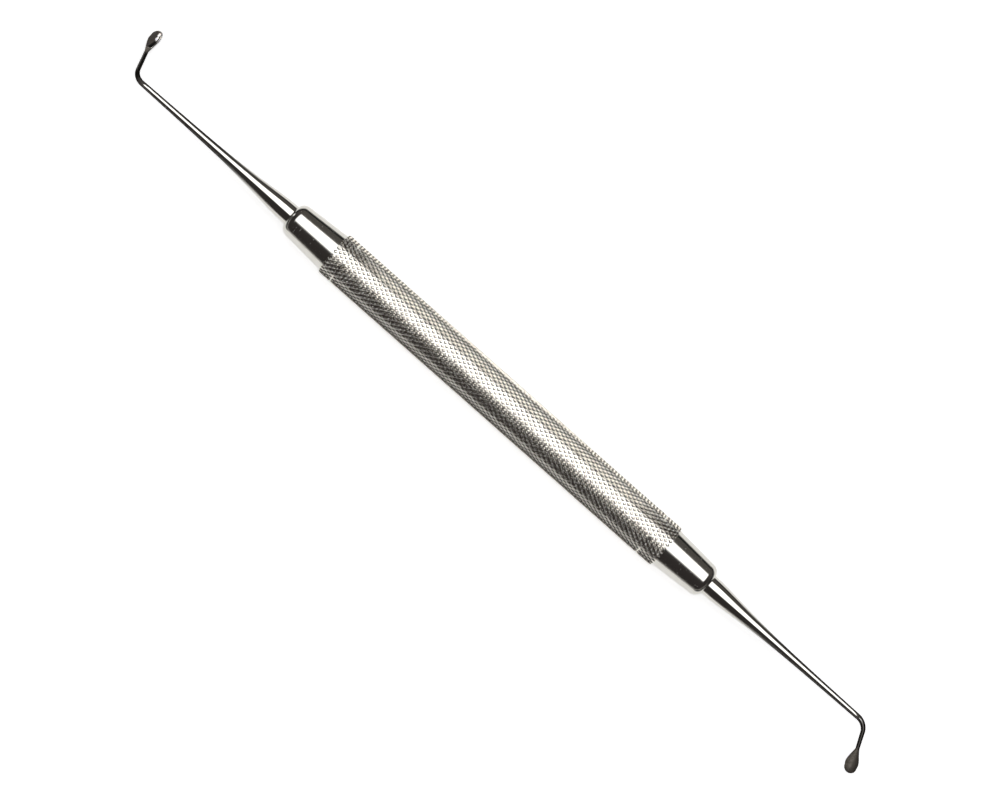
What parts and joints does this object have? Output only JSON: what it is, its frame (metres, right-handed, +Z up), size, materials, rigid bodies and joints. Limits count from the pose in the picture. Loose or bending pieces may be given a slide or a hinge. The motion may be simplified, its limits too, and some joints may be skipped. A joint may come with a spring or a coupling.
{
  "type": "spoon excavator",
  "caption": "Double-ended hand instrument with a knurled hollow handle, conical sockets and slender bent shanks that end in small cupped spoons for scooping out soft tissue.",
  "frame": {"origin": "on the handle's axis, at the middle of the handle", "axes": "+X along the handle towards end a, whose shank bends towards -Y; +Z up from the surface it lies on; end b, at -X, bends towards +Y"},
  "size_m": [0.1653, 0.0163, 0.008],
  "materials": {
    "knurled_steel": "bright, diamond knurled",
    "polished_steel": "mirror polished",
    "tip_steel": "polished, with a satin-ground spoon back"
  },
  "bodies": {
    "root": {"handle_tube": "knurled_steel", "cone_socket_a": "polished_steel", "cone_socket_b": "polished_steel", "working_tip_a": "tip_steel", "working_tip_b": "tip_steel"}
  },
  "joints": []
}
